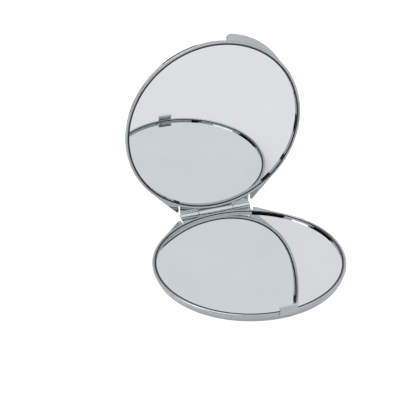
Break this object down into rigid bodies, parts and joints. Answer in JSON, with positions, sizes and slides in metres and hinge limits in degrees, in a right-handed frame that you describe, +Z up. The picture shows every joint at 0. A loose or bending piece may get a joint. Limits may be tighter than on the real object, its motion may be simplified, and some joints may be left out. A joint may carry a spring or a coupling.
{
  "type": "compact mirror",
  "caption": "Round chrome pocket compact: plain mirror in the lid, magnifying mirror in the base, rear barrel hinge; sprung front latch hook and a crescent thumb tab on the lid.",
  "frame": {"origin": "centre of the round underside, on the surface that the base rests on", "axes": "+X along the hinge, to the thumb tab's side; +Y from the latch back to the hinge; +Z up, with the lid standing 85 degrees open"},
  "size_m": [0.07, 0.0747, 0.0764],
  "materials": {
    "chrome_frame": "polished chrome plate",
    "bright_bezel": "bright polished plate",
    "mirror_glass": "silvered glass",
    "satin_disc": "satin brushed",
    "hinge_chrome": "polished plate over sheet steel",
    "pin_steel": "drawn steel",
    "latch_spring": "plated spring strip",
    "foam_pad": "thin foam with adhesive faces",
    "adhesive_film": "transfer adhesive"
  },
  "bodies": {
    "base": {"base_frame": "chrome_frame", "base_bezel_ring": "bright_bezel", "base_mirror_glass": "mirror_glass", "base_cover_disc": "satin_disc", "base_cover_film": "adhesive_film", "base_hinge_leaf": "hinge_chrome", "base_leaf_pin_left": "chrome_frame", "base_leaf_pin_right": "chrome_frame", "hinge_pin": "pin_steel", "latch_foot": "latch_spring", "latch_foot_pin": "chrome_frame"},
    "lid": {"lid_frame": "chrome_frame", "lid_bezel_ring": "bright_bezel", "lid_mirror_glass": "mirror_glass", "lid_mirror_pad": "foam_pad", "lid_cover_disc": "satin_disc", "lid_cover_film": "adhesive_film", "lid_hinge_leaf": "hinge_chrome", "lid_leaf_pin_left": "chrome_frame", "lid_leaf_pin_right": "chrome_frame"},
    "latch": {"latch_tongue": "latch_spring"}
  },
  "joints": [
    {"name": "lid_hinge", "type": "hinge", "parent": "base", "child": "lid", "pos_m": [0, 0.03635, 0.0031], "axis": [-1, 0, 0], "range_deg": [-85, 90]},
    {"name": "latch_flex", "type": "hinge", "parent": "base", "child": "latch", "pos_m": [0, -0.0351, 0.00215], "axis": [1, 0, 0], "range_deg": [0, 16], "stiffness_Nm_per_rad": 0.03}
  ]
}
